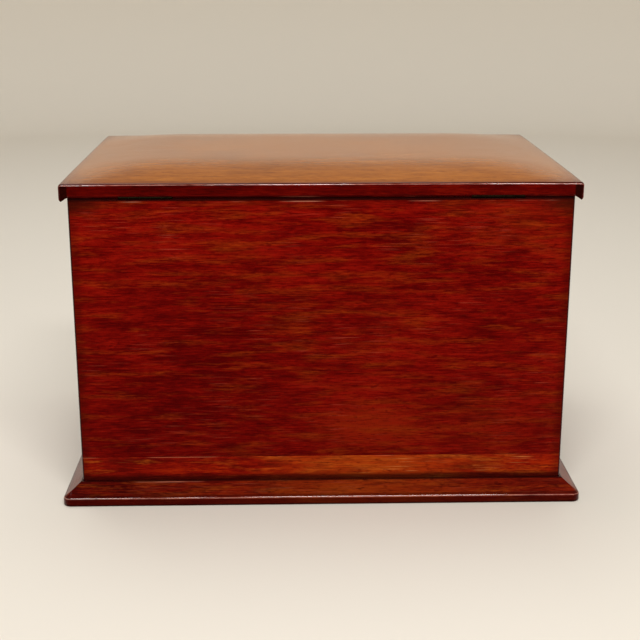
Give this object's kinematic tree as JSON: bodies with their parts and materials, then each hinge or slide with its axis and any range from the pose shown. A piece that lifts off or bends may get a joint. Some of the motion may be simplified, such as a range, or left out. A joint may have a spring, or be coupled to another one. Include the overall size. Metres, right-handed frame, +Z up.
{
  "type": "stationery box",
  "caption": "Mahogany stationery box with a cushion-topped hinged lid, a bevelled plinth, a box lock and a stepped paper rack inside.",
  "frame": {"origin": "middle of the bounding box's underside, at the table", "axes": "+Z up; +Y towards the front with the keyhole; -Y is the back, where the lid turns; +X along the width"},
  "size_m": [0.4088, 0.2928, 0.2616],
  "materials": {
    "carcase_mahogany": "French polish, deep red brown",
    "strip_mahogany": "French polish, slightly paler red brown",
    "plinth_mahogany": "French polish, deep red brown",
    "lid_mahogany": "French polish, orange brown",
    "rack_mahogany": "thin polish, satin",
    "bottom_pine": "bare, aged",
    "hinge_brass": "tarnished",
    "lock_brass": "brushed, lightly tarnished",
    "lock_steel": "oiled",
    "screw_steel": "darkened"
  },
  "bodies": {
    "carcase": {"back_board": "carcase_mahogany", "back_lower_strip": "strip_mahogany", "front_board": "carcase_mahogany", "left_side": "carcase_mahogany", "right_side": "carcase_mahogany", "bottom_board": "bottom_pine", "bottom_screws": "screw_steel", "plinth_back": "plinth_mahogany", "plinth_front": "plinth_mahogany", "plinth_left": "plinth_mahogany", "plinth_right": "plinth_mahogany", "hinge_left_body_leaf": "hinge_brass", "hinge_right_body_leaf": "hinge_brass", "hinge_left_pin": "hinge_brass", "hinge_right_pin": "hinge_brass", "hinge_body_screws": "hinge_brass", "lock_plate": "lock_brass", "lock_case": "lock_brass", "lock_spring": "lock_steel", "lock_screws": "lock_brass", "lock_escutcheon": "lock_brass", "rack_cheek_left": "rack_mahogany", "rack_cheek_right": "rack_mahogany", "rack_partition_1": "rack_mahogany", "rack_partition_2": "rack_mahogany", "rack_partition_3": "rack_mahogany", "rack_partition_4": "rack_mahogany"},
    "lid": {"lid_panel": "lid_mahogany", "lid_moulding_front": "lid_mahogany", "lid_moulding_left": "lid_mahogany", "lid_moulding_right": "lid_mahogany", "hinge_left_lid_leaf": "hinge_brass", "hinge_right_lid_leaf": "hinge_brass", "hinge_lid_screws": "hinge_brass", "lock_link_plate": "lock_brass", "link_plate_screws": "lock_brass"},
    "bolt": {"lock_bolt": "lock_steel"}
  },
  "joints": [
    {"name": "lid_hinge", "type": "hinge", "parent": "carcase", "child": "lid", "pos_m": [0, -0.13065, 0.2425], "axis": [1, 0, 0], "range_deg": [0, 95]},
    {"name": "bolt_slide", "type": "slide", "parent": "carcase", "child": "bolt", "axis": [1, 0, 0], "range_m": [0, 0.004]}
  ]
}
